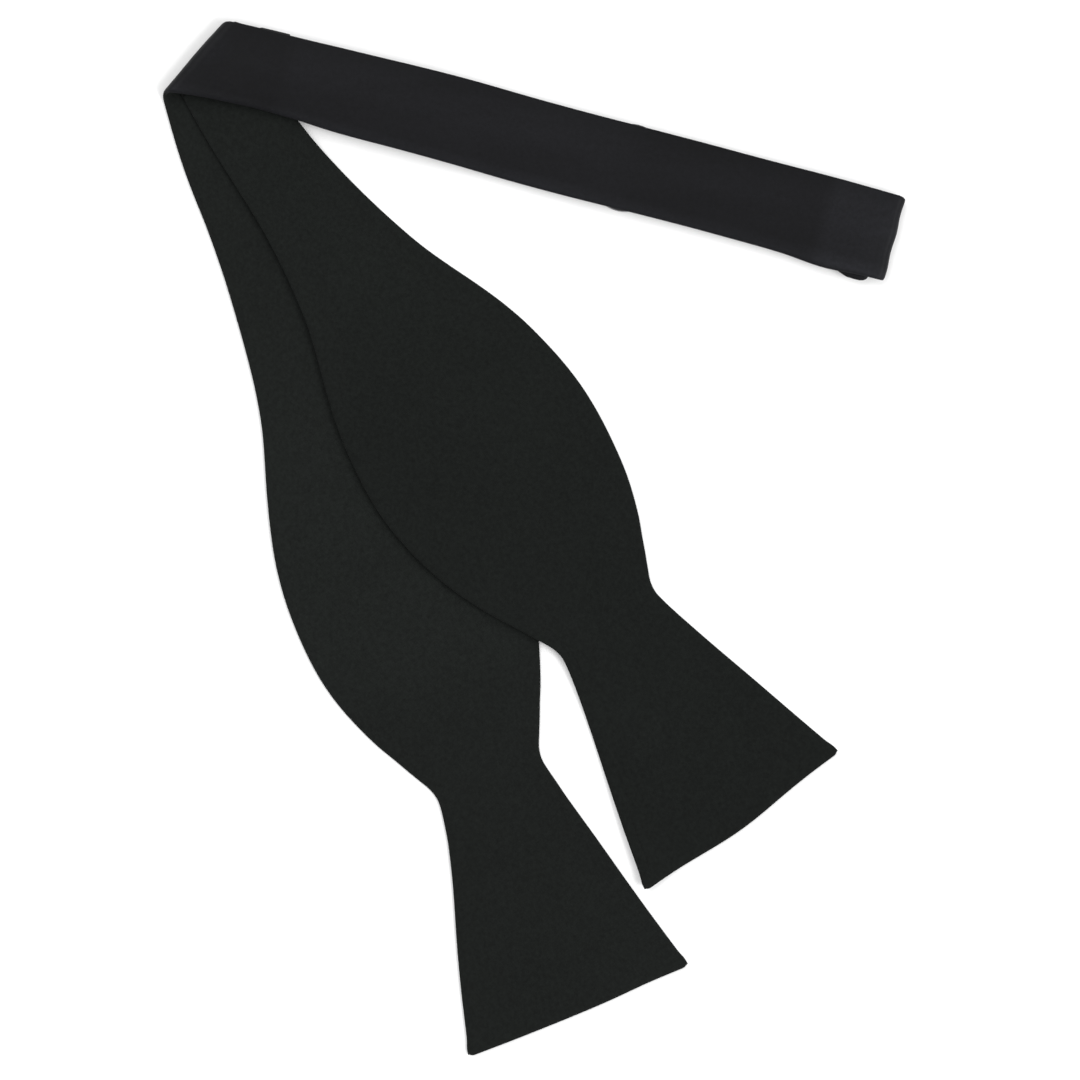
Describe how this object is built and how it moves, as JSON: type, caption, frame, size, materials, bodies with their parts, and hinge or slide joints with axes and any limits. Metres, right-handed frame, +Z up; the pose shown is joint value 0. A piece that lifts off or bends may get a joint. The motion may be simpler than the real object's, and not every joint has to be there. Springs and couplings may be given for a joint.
{
  "type": "self-tie bow tie",
  "caption": "Untied self-tie bow tie folded flat: fanned flared blades, a folded-back neckband and an adjusting slide with hook and eye.",
  "frame": {"origin": "centre of the base of the bounding box, on the plane the tie lies on", "axes": "+Z up from that plane; +Y from the flared blade ends towards the folded corner; +X towards the neckband's closed end"},
  "size_m": [0.1958, 0.2724, 0.0052],
  "materials": {
    "face_cloth": "matte fine weave",
    "band_satin": "satin",
    "interlining": "matte brushed",
    "strap_cloth": "ribbed ribbon",
    "thread": "thread",
    "label_cloth": "satin ribbon, blank",
    "hardware": "black enamel"
  },
  "bodies": {
    "rear_blade": {"rear_blade_back": "face_cloth", "rear_blade_interlining": "interlining", "rear_blade_face": "face_cloth", "rear_blade_edge_seam": "face_cloth", "rear_corner_fold": "band_satin"},
    "neckband": {"neckband_face": "band_satin", "neckband_interlining": "interlining", "neckband_back": "band_satin", "neckband_end_fold": "band_satin", "neckband_tail": "band_satin", "tail_turnback": "band_satin", "tail_bar_tack": "thread", "eye_ring": "hardware", "front_half_end": "face_cloth", "strap_join_stitches": "thread", "adjuster_strap": "strap_cloth", "strap_loop": "strap_cloth", "strap_return": "strap_cloth", "size_label": "label_cloth"},
    "slide": {"adjuster_slide": "hardware", "strap_end_wrap": "strap_cloth", "slide_bar_tack": "thread"},
    "hook": {"hook": "hardware"},
    "front_neck": {"front_neck_tab": "face_cloth", "front_corner_fold": "face_cloth"},
    "front_blade": {"front_blade_back": "face_cloth", "front_blade_interlining": "interlining", "front_blade_face": "face_cloth", "front_blade_edge_seam": "face_cloth"}
  },
  "joints": [
    {"name": "neckband_unfold", "type": "hinge", "parent": "rear_blade", "child": "neckband", "pos_m": [-0.08944, 0.1271, 0.00262], "axis": [-0.6587, -0.7524, 0], "range_deg": [0, 180], "deforming": ["rear_corner_fold", "front_corner_fold"]},
    {"name": "front_fold", "type": "hinge", "parent": "neckband", "child": "front_neck", "pos_m": [-0.08944, 0.1271, 0.00262], "axis": [-0.6587, -0.7524, 0], "range_deg": [-180, 0], "deforming": ["rear_corner_fold", "front_corner_fold"]},
    {"name": "front_blade_fan", "type": "hinge", "parent": "front_neck", "child": "front_blade", "pos_m": [-0.08585, 0.12396, 0.00195], "axis": [0, 0, 1], "range_deg": [0, 10]},
    {"name": "size_slide", "type": "slide", "parent": "neckband", "child": "slide", "axis": [0.9668, -0.2554, 0], "range_m": [-0.01, 0.02], "deforming": ["strap_return"]},
    {"name": "hook_release", "type": "slide", "parent": "neckband", "child": "hook", "axis": [0.9668, -0.2554, 0], "range_m": [0, 0.003], "deforming": ["strap_loop", "strap_return"]}
  ],
  "couplings": [
    {"joint": "front_fold", "follows": "neckband_unfold", "ratio": -1}
  ]
}
